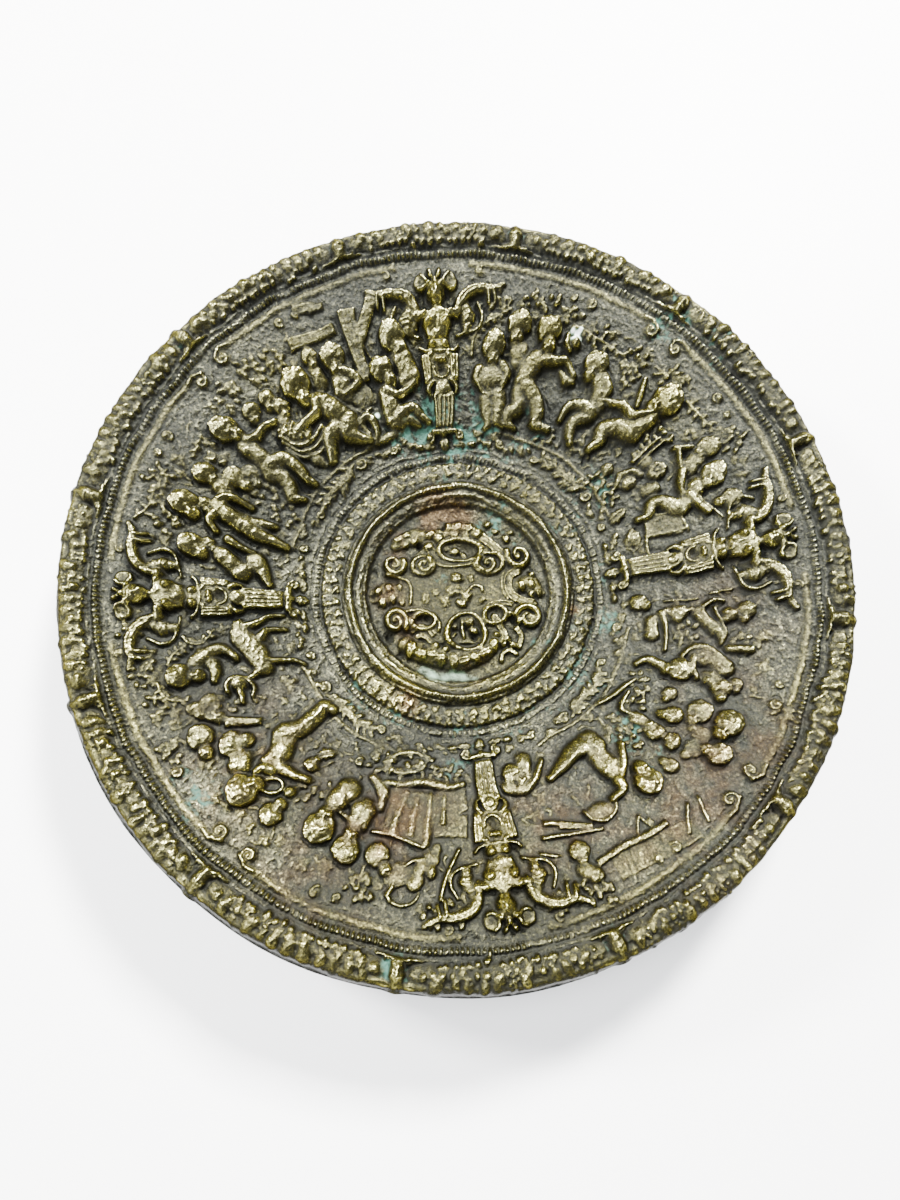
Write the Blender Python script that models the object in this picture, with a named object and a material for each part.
"""Bronze relief dish with a figured field, a fruit wreath round its rim and a turned foot.

The dish is one casting. Its front is a turned profile with relief pressed on to it: four
pillar figures part four scenes of playing children, a wreath of twelve bound fruit swags
runs round the rim, and a worn strapwork cartouche fills the well. Plan places and heights
are in millimetres, +Y runs to the northern pillar and headings are degrees from +X.
"""
import math

import bmesh
import bpy
import numpy as np

# ---------------------------------------------------------------- driving dimensions (mm)
MM = 0.001                  # metres in a millimetre
RADIUS = 150.0              # outer edge of the rim
EDGE = 3.8                  # height of the plain edge wall
FOOT_OUTER = 61.5           # foot ring, outer radius
FOOT_INNER = 56.5           # foot ring, inner radius
FOOT_BOTTOM = -44.5         # foot ring's standing face, below the rim's edge
WELL_UNDER = -38.4          # underside of the well
BEVEL = 0.6                 # chamfer of the foot ring

FIGURE_DEPTH = 4.3          # relief of a body of the full size
HEAD_DEPTH = 6.0            # relief of a head of the full size
HEAD_RADIUS = 5.4           # head of the full size
SCENES = 4                  # scenes and pillars
SWAGS = 12                  # swags and binding straps of the wreath
SWAG_RADIUS = 144.6         # middle line of the wreath

BED_CELL = 0.75             # spacing of the relief's height grid
RING_STEP = 1.7             # spacing of the surface's points before thinning
SOFTEN = 5                  # passes that round the relief off
UNDER_SIDES = 60            # facets of the turned underside
KEEP = 0.182                # share of the front's triangles kept

# Turned profile of the front: radius and height above the rim's edge.
FRONT = (
    (0.0, -33.6), (22.0, -34.0), (35.0, -34.4), (37.4, -33.6), (39.0, -31.2), (41.4, -29.4),
    (44.4, -27.4), (47.2, -29.2), (49.0, -30.2), (53.0, -29.5), (56.0, -30.4), (57.2, -31.4),
    (58.8, -30.2), (61.0, -31.0), (64.0, -30.0), (70.0, -27.2), (122.0, -2.6), (128.0, -0.3),
    (131.6, 1.5), (133.6, 0.8), (137.0, 3.0), (139.3, 3.6), (144.0, 3.6), (148.5, 1.4), (RADIUS, 0.0),
)
# Turned profile of the back, from the edge wall to the middle.
BACK = (
    (RADIUS - 0.3, -EDGE + 0.9), (RADIUS - 1.6, -EDGE), (145.6, -EDGE), (143.4, -2.0), (135.0, -2.4),
    (122.0, -6.6), (70.0, -31.2), (FOOT_OUTER, -36.0),
    (FOOT_OUTER, FOOT_BOTTOM + BEVEL), (FOOT_OUTER - BEVEL, FOOT_BOTTOM),
    (FOOT_INNER + BEVEL, FOOT_BOTTOM), (FOOT_INNER, FOOT_BOTTOM + BEVEL), (FOOT_INNER - 0.6, -36.0),
    (42.0, -36.0), (38.0, WELL_UNDER), (20.0, WELL_UNDER),
)

NOWHERE = -9.0              # height that means nothing is modelled


# ---------------------------------------------------------------- relief modelling
def heading(degrees):
    """Unit vector of a heading in the plan."""
    turn = math.radians(degrees)
    return np.array((math.cos(turn), math.sin(turn)))


def step(at, degrees, length):
    """The point that lies a length from another along a heading."""
    return np.asarray(at, float) + heading(degrees) * length


def polar(degrees, out, side=0.0):
    """Plan point a distance out along a heading and to its clockwise side."""
    return step(step((0.0, 0.0), degrees, out), degrees - 90.0, side)


def arc(centre, radius, start, end, count=10):
    """Points along an arc of a circle."""
    return [step(centre, turn, radius) for turn in np.linspace(start, end, count)]


def smooth_max(a, b, fillet):
    """Larger of two heights, rounded where they cross."""
    near = np.clip(1.0 - np.abs(a - b) / fillet, 0.0, 1.0)
    return np.maximum(a, b) + 0.25 * fillet * near * near


def swell(share):
    """Section of a rounded form over its half width."""
    inside = np.clip(1.0 - share * share, 0.0, 1.0)
    return 0.7 * np.sqrt(inside) + 0.3 * inside


class Bed:
    """Relief heights on a square grid over the plan."""

    def __init__(self, half, cell):
        self.half = half
        self.cell = cell
        self.axis = np.arange(-half, half + cell, cell)
        self.height = np.zeros((len(self.axis), len(self.axis)))

    def sample(self, x, y):
        """Relief height at plan points."""
        u = (x + self.half) / self.cell
        v = (y + self.half) / self.cell
        i = u.astype(int)
        j = v.astype(int)
        fu = u - i
        fv = v - j
        low = self.height[j, i] * (1.0 - fu) + self.height[j, i + 1] * fu
        high = self.height[j + 1, i] * (1.0 - fu) + self.height[j + 1, i + 1] * fu
        return low * (1.0 - fv) + high * fv

    def soften(self, passes):
        """Round the relief off, as much as the passes."""
        for _ in range(passes):
            for turned in (self.height, self.height.T):
                turned[1:-1] = 0.25 * turned[:-2] + 0.5 * turned[1:-1] + 0.25 * turned[2:]

    def raise_form(self, low, high, shape, fillet=0.6):
        """Join a form, given as a function of the plan, to the bed inside a box."""
        i0, i1 = np.searchsorted(self.axis, (low[0], high[0]))
        j0, j1 = np.searchsorted(self.axis, (low[1], high[1]))
        x = self.axis[None, i0:i1]
        y = self.axis[j0:j1, None]
        patch = self.height[j0:j1, i0:i1]
        patch[...] = smooth_max(patch, shape(x, y), fillet)

    def ball(self, at, radius, top, stretch=1.0, turn=0.0, fillet=0.6):
        """Rounded mass, longer along a heading by the stretch."""
        c, s = heading(turn)
        reach = radius * max(stretch, 1.0)

        def shape(x, y):
            dx = x - at[0]
            dy = y - at[1]
            along = (dx * c + dy * s) / stretch
            across = dy * c - dx * s
            share = np.sqrt(along * along + across * across) / radius
            return np.where(share < 1.0, top * swell(np.minimum(share, 1.0)), NOWHERE)
        self.raise_form((at[0] - reach, at[1] - reach), (at[0] + reach, at[1] + reach), shape, fillet)

    def limb(self, a, b, radius_a, radius_b, top_a, top_b, fillet=0.6):
        """Rounded, tapered bar between two points."""
        a = np.asarray(a, float)
        b = np.asarray(b, float)
        run = b - a
        square = max(float(run @ run), 1e-9)
        reach = max(radius_a, radius_b)

        def shape(x, y):
            dx = x - a[0]
            dy = y - a[1]
            t = np.clip((dx * run[0] + dy * run[1]) / square, 0.0, 1.0)
            radius = radius_a + (radius_b - radius_a) * t
            share = np.hypot(dx - t * run[0], dy - t * run[1]) / radius
            top = top_a + (top_b - top_a) * t
            return np.where(share < 1.0, top * swell(np.minimum(share, 1.0)), NOWHERE)
        self.raise_form(np.minimum(a, b) - reach, np.maximum(a, b) + reach, shape, fillet)

    def chain(self, points, radius, top):
        """Rounded bar that follows points."""
        for a, b in zip(points[:-1], points[1:]):
            self.limb(a, b, radius, radius, top, top, 0.3)

    def slab(self, a, b, half_a, half_b, top):
        """Flat bar with square ends and sloping sides."""
        a = np.asarray(a, float)
        b = np.asarray(b, float)
        length = float(np.linalg.norm(b - a))
        c, s = (b - a) / length
        reach = max(half_a, half_b)

        def shape(x, y):
            u = (x - a[0]) * c + (y - a[1]) * s
            v = (y - a[1]) * c - (x - a[0]) * s
            half = half_a + (half_b - half_a) * np.clip(u / length, 0.0, 1.0)
            room = np.minimum(half - np.abs(v), np.minimum(u, length - u))
            return np.where(room > 0.0, top * np.clip(0.4 + room, 0.0, 1.0), NOWHERE)
        self.raise_form(np.minimum(a, b) - reach, np.maximum(a, b) + reach, shape, 0.3)


# ---------------------------------------------------------------- figures
def putto(bed, head, size, neck, spine, torso=1.0, arms=(), legs=(), rise=1.0):
    """A chubby child: head, trunk and limbs set out by headings, sized by its head.

    An arm or a leg is its side (1 to the left of the spine's heading, -1 to the right),
    the heading of its upper part and the heading of its lower part.
    """
    body = FIGURE_DEPTH * rise * size / HEAD_RADIUS
    throat = step(head, neck, 0.95 * size)
    chest = step(throat, spine, 0.55 * size)
    belly = step(throat, spine, 1.35 * size * torso)
    hips = step(throat, spine, 2.2 * size * torso)
    if torso > 0.0:
        bed.limb(chest, belly, 0.92 * size, 0.90 * size, body, body)
        bed.limb(belly, hips, 0.90 * size, 0.84 * size, body, body)
    for side, thigh, shin in legs:
        joint = step(hips, spine + 90.0, 0.36 * size * side)
        knee = step(joint, thigh, 1.5 * size)
        ankle = step(knee, shin, 1.45 * size)
        foot = step(ankle, shin + 62.0 * side, 0.6 * size)
        bed.limb(joint, knee, 0.68 * size, 0.50 * size, body, 0.95 * body)
        bed.limb(knee, ankle, 0.48 * size, 0.30 * size, 0.95 * body, 0.7 * body)
        bed.limb(ankle, foot, 0.28 * size, 0.26 * size, 0.7 * body, 0.55 * body)
    for side, upper, lower in arms:
        shoulder = step(step(throat, spine, 0.42 * size), spine + 90.0, 0.68 * size * side)
        elbow = step(shoulder, upper, 1.2 * size)
        hand = step(elbow, lower, 1.25 * size)
        bed.limb(shoulder, elbow, 0.44 * size, 0.36 * size, body, body)
        bed.limb(elbow, hand, 0.36 * size, 0.30 * size, body, 0.9 * body)
    bed.ball(head, size, HEAD_DEPTH * rise * size / HEAD_RADIUS, 1.05, neck)


def pillar_figure(bed, turn):
    """Tapering pillar with a block, a body, a crowned head and winged drapery."""
    bed.slab(polar(turn, 69.5), polar(turn, 85.0), 3.1, 4.4, 4.2)
    bed.slab(polar(turn, 65.5), polar(turn, 70.5), 5.0, 4.2, 3.6)
    bed.ball(polar(turn, 86.5), 3.7, 5.2)
    bed.slab(polar(turn, 89.5), polar(turn, 101.5), 7.2, 7.8, 4.6)
    bed.ball(polar(turn, 94.6), 3.6, 5.6)
    bed.chain([polar(turn, 102.5, -8.0), polar(turn, 100.8), polar(turn, 102.5, 8.0)], 1.1, 5.3)
    bed.limb(polar(turn, 103.0), polar(turn, 108.0), 4.4, 3.8, 5.6, 5.1)
    bed.limb(polar(turn, 108.0), polar(turn, 114.0), 3.8, 5.2, 5.1, 5.6)
    bed.limb(polar(turn, 115.0), polar(turn, 119.0), 2.2, 2.0, 4.6, 5.0)
    bed.ball(polar(turn, 121.8), 3.5, 6.6, 1.25, turn)
    bed.chain([polar(turn, 125.6, -3.8), polar(turn, 126.6), polar(turn, 125.6, 3.8)], 1.3, 5.0)
    for side in (-1.0, 1.0):
        bed.limb(polar(turn, 114.6, side * 4.2), polar(turn, 113.0, side * 7.6), 2.2, 1.7, 5.0, 4.0)
        bed.chain(arc(polar(turn, 127.6, side * 6.0), 2.9, turn - side * 90.0, turn - side * 300.0), 0.9, 4.2)
        bed.chain([polar(turn, 115.0, side * 5.5), polar(turn, 122.2, side * 11.0),
                   polar(turn, 123.6, side * 15.0), polar(turn, 121.5, side * 22.0)], 1.4, 3.9)
        bed.limb(polar(turn, 122.0, side * 21.0), polar(turn, 113.5, side * 22.8), 1.9, 1.2, 4.0, 3.0)
        bed.ball(polar(turn, 65.4, side * 7.2), 4.5, 3.2)


def goat(bed):
    """The goat that one of the children rides."""
    bed.limb((-84.5, -10.5), (-84.0, -17.0), 5.0, 6.2, 4.6, 5.2, 1.0)
    bed.limb((-84.0, -17.0), (-80.5, -23.5), 6.2, 5.0, 5.2, 4.6, 1.0)
    bed.limb((-85.0, -24.0), (-88.5, -31.0), 3.6, 3.4, 4.6, 5.2, 1.0)
    bed.ball((-88.8, -32.3), 4.3, 5.6)
    bed.limb((-88.6, -34.0), (-87.6, -38.2), 2.4, 1.6, 4.6, 3.6)
    bed.chain([(-82.0, -8.8), (-76.0, -6.0), (-70.0, -5.0)], 1.4, 3.4)
    bed.chain([(-79.5, -23.0), (-69.0, -23.0), (-63.5, -25.8)], 1.4, 3.4)


# The children, scene by scene: head, size, neck, spine, trunk length, arms, legs, rise.
CHILDREN = (
    # north-east: the dance
    ((25.5, 101.5), 5.0, -100, -100, 0.95, (), ((-1, -96, -92), (1, -96, -90)), 1.0),
    ((36.0, 107.5), 5.2, -100, -95, 0.7, (), (), 0.8),
    ((47.0, 103.0), 5.9, -125, -117, 1.05, ((1, -22, 2),), ((-1, -142, -80), (1, -76, -72)), 1.0),
    ((66.0, 88.0), 5.4, -105, -105, 1.0, ((1, -78, -55),), ((-1, 172, -110), (1, 160, -97)), 1.0),
    ((92.0, 67.0), 6.2, 215, 205, 1.0, ((-1, 172, 145),), ((1, 180, 200), (-1, 150, -97)), 1.0),
    ((106.5, 45.0), 4.8, 190, 190, 0.8, ((1, 176, 180),), (), 0.8),
    ((106.0, 33.0), 5.1, 200, 205, 0.75, ((1, -112, -60),), ((1, 95, 90),), 0.9),
    ((110.5, 21.5), 4.4, 200, 180, 0.6, (), (), 0.6),
    # north-west: the harvest
    ((-9.0, 114.0), 3.6, -90, -90, 0.0, (), (), 0.7),
    ((-17.5, 109.0), 5.8, -80, -78, 0.8, ((1, -60, -20),), (), 0.9),
    ((-24.0, 96.0), 5.4, -80, -84, 1.0, ((1, -12, 28),), ((-1, 0, -45), (1, 12, -50)), 1.0),
    ((-52.0, 101.0), 3.7, -90, -90, 0.7, (), (), 0.65),
    ((-42.0, 101.0), 5.5, -60, -80, 0.7, ((1, -32, 222),), (), 0.95),
    ((-58.0, 91.5), 6.0, -30, -40, 1.1, ((-1, -98, 228),), ((-1, -130, -90), (1, -42, -60)), 1.0),
    ((-72.0, 87.0), 5.2, -90, -90, 0.4, (), (), 0.65),
    ((-76.0, 79.0), 3.5, -90, -90, 0.0, (), (), 0.7),
    ((-64.5, 82.0), 3.8, -90, -90, 0.0, (), (), 0.7),
    ((-87.5, 71.0), 5.8, -35, -47, 1.0, ((1, 45, 30),), ((-1, -55, -82), (1, -4, -46)), 1.0),
    ((-99.0, 54.0), 4.9, -60, -60, 0.4, (), (), 0.75),
    ((-82.0, 51.5), 5.0, -60, -50, 0.4, (), (), 0.8),
    ((-103.5, 39.5), 5.2, 5, -28, 1.1, ((-1, 235, -60), (1, 6, -30)), ((-1, -85, -42), (1, -48, -20)), 1.0),
    ((-103.5, 23.0), 4.7, -20, -38, 1.1, (), ((-1, -30, -80), (1, 18, -75)), 1.0),
    # south-west: the goat ride
    ((-106.5, -28.5), 4.9, 25, 32, 0.9, (), ((-1, 0, -20), (1, 28, -60)), 1.0),
    ((-102.0, -42.5), 3.7, 40, 40, 0.5, (), (), 0.8),
    ((-88.0, -55.0), 5.0, 40, 40, 0.6, (), (), 0.7),
    ((-102.0, -53.0), 5.0, 40, 30, 0.4, (), (), 0.7),
    ((-87.0, -74.0), 6.0, 50, 42, 1.1, ((-1, -20, 10),), ((1, 108, 125), (-1, 35, 36)), 1.0),
    ((-78.0, -83.0), 4.6, 60, 50, 0.3, (), (), 0.85),
    ((-62.0, -87.0), 5.8, 65, 62, 0.9, (), ((1, 66, 60),), 0.9),
    ((-51.5, -96.0), 5.5, 60, 58, 0.8, ((-1, 75, 70),), ((1, 75, 70),), 0.95),
    ((-41.0, -100.5), 5.0, 60, 70, 0.5, (), (), 0.8),
    ((-57.5, -63.0), 3.2, 60, 60, 0.9, (), ((1, 200, 240),), 0.9),
    ((-24.0, -106.0), 4.2, 90, 90, 0.7, (), (), 0.5),
    # south-east: the shepherds' rest
    ((33.0, -113.5), 4.8, 95, 95, 0.8, ((1, 150, 150),), (), 0.95),
    ((11.5, -77.5), 3.9, 20, 40, 1.2, ((1, 80, 60),), ((1, 60, 140),), 0.85),
    ((61.0, -84.0), 6.0, 150, 140, 1.05, ((-1, 85, 80),), ((1, 215, 222), (-1, 95, 60)), 1.0),
    ((94.0, -66.0), 5.4, 140, 150, 0.6, (), (), 0.85),
    ((87.5, -77.0), 4.8, 140, 140, 0.4, (), (), 0.8),
    ((79.0, -72.0), 3.6, 140, 140, 0.4, (), (), 0.75),
    ((73.0, -71.0), 3.1, 140, 140, 0.5, (), (), 0.8),
    ((67.0, -65.0), 3.9, 130, 130, 0.6, (), (), 0.75),
    ((76.0, -61.0), 3.9, 140, 140, 0.4, (), (), 0.8),
    ((85.5, -62.0), 4.9, 140, 140, 0.3, (), (), 0.6),
    ((93.5, -53.5), 3.8, 120, 120, 0.4, (), (), 1.0),
    ((99.5, -52.5), 2.9, 120, 120, 0.3, (), (), 0.95),
    ((81.0, -42.0), 4.5, 40, -5, 1.2, ((-1, 215, 190),), ((1, -60, 178), (-1, -95, 175)), 1.0),
    ((71.5, -13.5), 3.4, 250, 265, 1.2, ((-1, 200, 250),), ((-1, 200, 225),), 1.0),
    ((104.0, -25.0), 3.1, 180, 180, 0.5, (), (), 0.8),
    ((108.5, -25.5), 3.6, 180, 180, 0.3, (), (), 0.65),
    ((94.5, -19.5), 2.9, 250, 290, 1.2, (), ((1, -60, -40), (-1, -90, -70)), 1.0),
)

# Bushes and heaps of fruit between the figures: place, reach and relief.
BUSHES = (
    ((42.0, 114.5), 5.0, 2.0), ((50.0, 112.5), 5.0, 1.9), ((57.5, 107.5), 4.4, 1.8), ((28.0, 117.0), 4.4, 2.0),
    ((68.5, 97.5), 5.2, 2.0), ((80.0, 86.0), 5.4, 2.1), ((87.5, 55.5), 5.0, 2.6), ((62.5, 42.0), 4.4, 2.2),
    ((67.2, 45.0), 3.2, 3.0), ((75.5, 36.8), 3.4, 2.9), ((85.5, 39.5), 3.8, 2.6), ((85.5, 24.5), 5.8, 4.4),
    ((-111.0, 31.5), 5.4, 2.0), ((-112.5, 46.0), 5.4, 1.7), ((-91.0, 56.5), 3.6, 2.0), ((-59.5, 70.5), 7.5, 3.9),
    ((-30.0, 73.5), 5.2, 3.5), ((-124.0, -12.0), 3.6, 2.4), ((-120.0, -25.0), 5.0, 1.8), ((-52.5, -81.0), 6.0, 2.8),
    ((-30.0, -68.5), 5.6, 2.3), ((-20.5, -71.5), 5.2, 2.1), ((-43.5, -87.5), 3.4, 4.2), ((-39.4, -78.0), 3.8, 3.0),
    ((-14.0, -122.5), 4.0, 2.6), ((-24.5, -122.5), 3.6, 2.4), ((20.5, -122.5), 4.0, 2.6), ((31.0, -121.0), 4.2, 2.6),
    ((43.0, -94.0), 4.6, 2.5), ((86.0, -30.5), 5.0, 1.7), ((84.5, -20.5), 4.0, 1.9), ((23.2, 90.0), 6.2, 5.6),
    ((54.8, 86.0), 4.0, 3.7), ((70.0, -32.5), 5.5, 2.9),
)

# Flat work, such as timber, roof and table: its two ends, half widths and relief.
FLAT_WORK = (
    ((-37.0, 121.0), (-27.5, 92.0), 3.6, 3.4, 2.5),        # post of the press
    ((-24.5, 122.5), (-31.5, 106.0), 2.6, 2.4, 2.8),       # its brace
    ((-62.0, 106.0), (-39.0, 113.0), 2.6, 2.6, 2.3),       # its beam
    ((-68.0, 66.5), (-52.0, 61.5), 1.8, 4.4, 2.9),         # harvest tub
    ((81.0, 16.0), (94.0, 16.4), 3.4, 3.8, 2.0),           # low table
    ((-25.5, -77.5), (-31.5, -97.5), 8.2, 9.4, 2.3),       # draped table
    ((-14.5, -81.0), (-18.5, -98.5), 4.4, 5.4, 1.9),       # its fallen cloth
    ((42.5, -115.5), (75.5, -101.0), 5.6, 4.4, 1.3),       # thatched roof
    ((35.5, -111.0), (68.5, -98.4), 1.8, 1.5, 2.2),        # eaves beam
    ((19.5, -99.0), (38.0, -99.4), 2.6, 2.2, 1.7),         # trough
)

# Strapwork of the well: points of each band and its half width.
CARTOUCHE = (
    (((-25.5, 20.0), (-18.0, 25.0), (-5.0, 25.5)), 2.1),
    (((-2.0, 28.4), (11.5, 26.4), (19.5, 16.0)), 2.1),
    (((-21.0, -23.5), (-8.0, -29.0), (8.0, -28.6), (15.0, -25.0), (20.0, -18.0), (11.0, -8.0)), 2.0),
    (((-6.0, -21.5), (-4.0, -12.0), (4.0, -10.4), (9.6, -20.5)), 1.5),
    (((24.0, 5.5), (20.4, 0.5), (24.5, -5.4)), 1.5),
    (((-6.0, 0.0), (6.0, 0.0)), 3.4),
)
VOLUTES = (((-26.0, 13.4), 5.2), ((-13.2, 12.6), 4.2), ((13.0, 13.4), 4.4), ((27.0, 14.2), 5.2),
           ((-26.6, -10.2), 5.2), ((26.4, -13.4), 5.6), ((-14.0, -21.6), 3.4), ((-31.0, 1.5), 4.0),
           ((30.5, 0.5), 3.6), ((2.0, -18.0), 3.6))


# ---------------------------------------------------------------- ornament
def wreath(bed):
    """Twelve swags of heaped fruit with leafy ends, and the straps that bind them."""
    for swag in range(SWAGS):
        middle = 360.0 / SWAGS * swag
        for n in range(-5, 6):
            share = 1.0 - (abs(n) / 6.0) ** 2
            out = SWAG_RADIUS + (0.9 if n % 2 else -0.9) * share
            bed.ball(polar(middle + 2.15 * n, out), 2.2 + 2.6 * share, 2.6 + 2.2 * share, 1.15, middle)
        turn = middle + 180.0 / SWAGS
        bed.slab(polar(turn, 139.6), polar(turn, 151.0), 2.6, 3.0, 4.8)
        for side in (-1.0, 1.0):
            bed.limb(polar(turn, 146.0, side * 5.0), polar(turn, 142.5, side * 8.5), 1.5, 1.9, 2.4, 2.6)


def scene_borders(bed):
    """Strapwork under each scene and the scrolled ends of the frame above it."""
    for scene in range(SCENES):
        middle = 45.0 + 360.0 / SCENES * scene
        bed.chain([polar(middle + t, 71.2) for t in range(-24, 25, 4)], 0.9, 1.7)
        bed.chain([polar(middle + t, out) for t, out in ((-15, 63.8), (-7, 65.8), (0, 67.2), (7, 65.8), (15, 63.8))],
                  1.9, 2.2)
        for side in (-1.0, 1.0):
            bed.ball(polar(middle + 16.5 * side, 64.4), 2.9, 2.5)
            bed.ball(polar(middle + 2.4 * side, 128.6), 3.2, 2.0)


def cartouche(bed):
    """Worn strapwork, scrolls and fruit of the well."""
    for points, half in CARTOUCHE:
        bed.chain(points, half, 2.1)
    for centre, radius in VOLUTES:
        bed.ball(centre, radius, 2.1)


def relief():
    """The whole relief of the front."""
    bed = Bed(RADIUS + 4.0, BED_CELL)
    for at, reach, top in BUSHES:
        bed.ball(at, reach, top)
    for a, b, half_a, half_b, top in FLAT_WORK:
        bed.slab(a, b, half_a, half_b, top)
    for turn in (89.0, 0.8, 179.0, 271.3):
        pillar_figure(bed, turn)
    goat(bed)
    for head, size, neck, spine, torso, arms, legs, rise in CHILDREN:
        putto(bed, head, size, neck, spine, torso, arms, legs, rise)
    wreath(bed)
    scene_borders(bed)
    cartouche(bed)
    bed.soften(SOFTEN)
    return bed


# ---------------------------------------------------------------- the casting
def zip_rings(mesh, inner, outer):
    """Faces between two rings of vertices that start at the same heading."""
    i = 0
    j = 0
    while i < len(inner) or j < len(outer):
        a = inner[i % len(inner)]
        b = outer[j % len(outer)]
        if j == len(outer) or (i < len(inner) and (i + 0.5) / len(inner) < (j + 0.5) / len(outer)):
            mesh.faces.new((a, b, inner[(i + 1) % len(inner)]))
            i += 1
        else:
            mesh.faces.new((a, b, outer[(j + 1) % len(outer)]))
            j += 1


def ring_of_points(radius, count):
    """Plan points of a ring."""
    turn = np.arange(count) * (2.0 * math.pi / count)
    return radius * np.cos(turn), radius * np.sin(turn)


def front_rings(mesh, bed):
    """Rings of the relief surface, from the middle to the edge, already joined."""
    base_radius = [r for r, _ in FRONT]
    base_height = [z for _, z in FRONT]
    lift = -FOOT_BOTTOM
    previous = None
    for radius in np.linspace(0.0, RADIUS, int(RADIUS / RING_STEP) + 1)[1:]:
        count = max(int(2.0 * math.pi * radius / RING_STEP), 6)
        x, y = ring_of_points(radius, count)
        z = np.interp(radius, base_radius, base_height) + bed.sample(x, y) * min(1.0, (RADIUS - radius) / 2.0 + 0.35)
        ring = [mesh.verts.new((px * MM, py * MM, (pz + lift) * MM)) for px, py, pz in zip(x, y, z)]
        if previous is None:
            middle = base_height[0] + float(bed.sample(np.zeros(1), np.zeros(1))[0])
            centre = mesh.verts.new((0.0, 0.0, (middle + lift) * MM))
            for n in range(count):
                mesh.faces.new((centre, ring[n], ring[(n + 1) % count]))
        else:
            zip_rings(mesh, previous, ring)
        previous = ring
    return previous


def back_rings(mesh, edge):
    """The turned underside with its foot ring, joined to the front's edge."""
    lift = -FOOT_BOTTOM
    previous = edge
    for radius, height in BACK:
        x, y = ring_of_points(radius, UNDER_SIDES)
        ring = [mesh.verts.new((px * MM, py * MM, (height + lift) * MM)) for px, py in zip(x, y)]
        zip_rings(mesh, previous, ring)
        previous = ring
    centre = mesh.verts.new((0.0, 0.0, (WELL_UNDER + lift) * MM))
    for n in range(UNDER_SIDES):
        mesh.faces.new((previous[n], centre, previous[(n + 1) % UNDER_SIDES]))


def bronze():
    """Aged bronze: dark olive brown, half polished."""
    material = bpy.data.materials.new("aged_bronze")
    material.use_nodes = True
    shader = material.node_tree.nodes["Principled BSDF"]
    shader.inputs["Base Color"].default_value = (0.19, 0.145, 0.075, 1.0)
    shader.inputs["Metallic"].default_value = 0.85
    shader.inputs["Roughness"].default_value = 0.46
    return material


def plate():
    """The casting as one closed body."""
    mesh = bmesh.new()
    edge = front_rings(mesh, relief())
    front_count = len(mesh.verts)
    back_rings(mesh, edge)
    bmesh.ops.recalc_face_normals(mesh, faces=mesh.faces)
    data = bpy.data.meshes.new("plate")
    mesh.to_mesh(data)
    mesh.free()
    data.materials.append(bronze())
    casting = bpy.data.objects.new("plate", data)
    bpy.context.scene.collection.objects.link(casting)
    front = casting.vertex_groups.new(name="front")
    front.add(list(range(front_count)), 1.0, "REPLACE")
    thin = casting.modifiers.new("thin_out", "DECIMATE")
    thin.decimate_type = "COLLAPSE"
    thin.vertex_group = front.name
    thin.ratio = KEEP
    return casting


def main():
    for item in list(bpy.data.objects):
        bpy.data.objects.remove(item, do_unlink=True)
    plate()


main()
